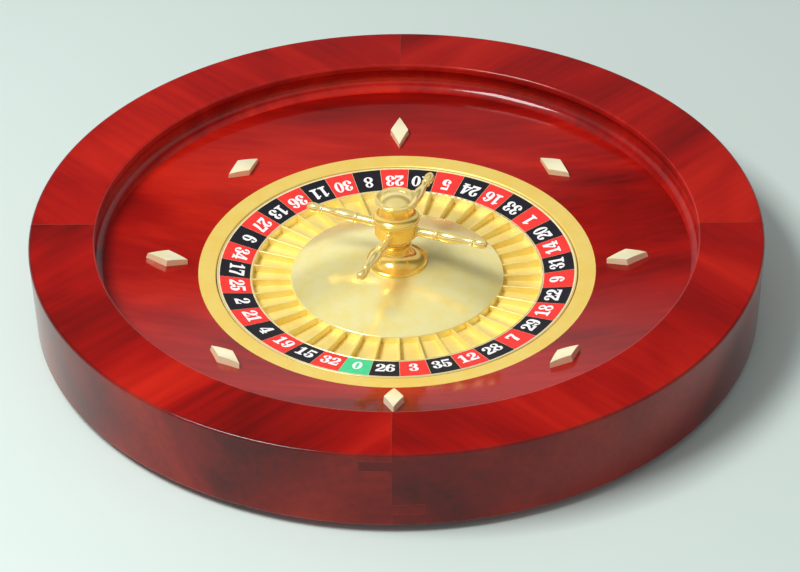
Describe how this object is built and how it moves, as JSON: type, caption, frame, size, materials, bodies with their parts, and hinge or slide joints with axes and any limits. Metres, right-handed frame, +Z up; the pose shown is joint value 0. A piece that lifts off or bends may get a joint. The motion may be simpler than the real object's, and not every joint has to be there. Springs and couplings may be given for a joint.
{
  "type": "roulette wheel",
  "caption": "Tabletop wooden roulette wheel: round bowl with a flat rim, sloping apron with brass deflectors, and a free-turning numbered rotor under a turret with arms.",
  "frame": {"origin": "on the surface the wheel stands on, under the axis of the rotor", "axes": "+Z up along the rotor's axis, -Y towards the player at the front, +X to the right; the rim's seams lie on the X and Y axes"},
  "size_m": [0.457, 0.457, 0.079],
  "materials": {
    "red_wood": "gloss lacquer",
    "apron_wood": "gloss lacquer",
    "board_wood": "plain plywood",
    "satin_brass": "satin",
    "polished_brass": "polished",
    "pale_brass": "satin",
    "pocket_brass": "satin",
    "number_print": "printed and varnished",
    "cast_aluminium": "turned",
    "bearing_steel": "ground",
    "zinc_steel": "zinc plated",
    "cage_steel": "pressed",
    "foot_rubber": "matt"
  },
  "bodies": {
    "bowl": {"apron": "apron_wood", "apron_trim_ring": "satin_brass", "base_apron_screws": "zinc_steel", "base_board": "board_wood", "base_rim_screws": "zinc_steel", "deflector_1": "polished_brass", "deflector_2": "polished_brass", "deflector_3": "polished_brass", "deflector_4": "polished_brass", "deflector_5": "polished_brass", "deflector_6": "polished_brass", "deflector_7": "polished_brass", "deflector_8": "polished_brass", "deflector_screws": "zinc_steel", "feet": "foot_rubber", "flange_bolts": "zinc_steel", "flange_nuts": "zinc_steel", "foot_screws": "zinc_steel", "lower_inner_race": "bearing_steel", "rim_segment_1": "red_wood", "rim_segment_2": "red_wood", "rim_segment_3": "red_wood", "rim_segment_4": "red_wood", "spindle": "bearing_steel", "spindle_flange": "zinc_steel", "spindle_nut": "zinc_steel", "spindle_washer": "zinc_steel", "upper_inner_race": "bearing_steel"},
    "rotor": {"carrier_screws": "zinc_steel", "cone": "polished_brass", "frets": "pocket_brass", "hub_screws": "zinc_steel", "lower_outer_race": "bearing_steel", "number_carrier": "cast_aluminium", "number_ring": "number_print", "pocket_floor": "pocket_brass", "pocket_outer_ring": "pale_brass", "retaining_ring": "zinc_steel", "rotor_hub": "cast_aluminium", "rotor_plate": "cast_aluminium", "rotor_rim": "pale_brass", "rotor_web": "cast_aluminium", "turret_arm_1": "polished_brass", "turret_arm_2": "polished_brass", "turret_arm_3": "polished_brass", "turret_arm_4": "polished_brass", "turret_base": "polished_brass", "turret_cap": "polished_brass", "turret_hub": "polished_brass", "turret_neck": "polished_brass", "turret_screws": "zinc_steel", "turret_stud": "zinc_steel", "upper_outer_race": "bearing_steel", "web_screws": "zinc_steel"},
    "lower_bearing": {"lower_balls": "bearing_steel", "lower_cage": "cage_steel"},
    "upper_bearing": {"upper_balls": "bearing_steel", "upper_cage": "cage_steel"}
  },
  "joints": [
    {"name": "rotor_spin", "type": "hinge", "parent": "bowl", "child": "rotor", "pos_m": [0, 0, 0.03], "axis": [0, 0, 1], "continuous": true},
    {"name": "lower_bearing_roll", "type": "hinge", "parent": "bowl", "child": "lower_bearing", "pos_m": [0, 0, 0.022], "axis": [0, 0, 1], "continuous": true},
    {"name": "upper_bearing_roll", "type": "hinge", "parent": "bowl", "child": "upper_bearing", "pos_m": [0, 0, 0.0559], "axis": [0, 0, 1], "continuous": true}
  ],
  "couplings": [
    {"joint": "lower_bearing_roll", "follows": "rotor_spin", "ratio": 0.619},
    {"joint": "upper_bearing_roll", "follows": "rotor_spin", "ratio": 0.5992}
  ]
}
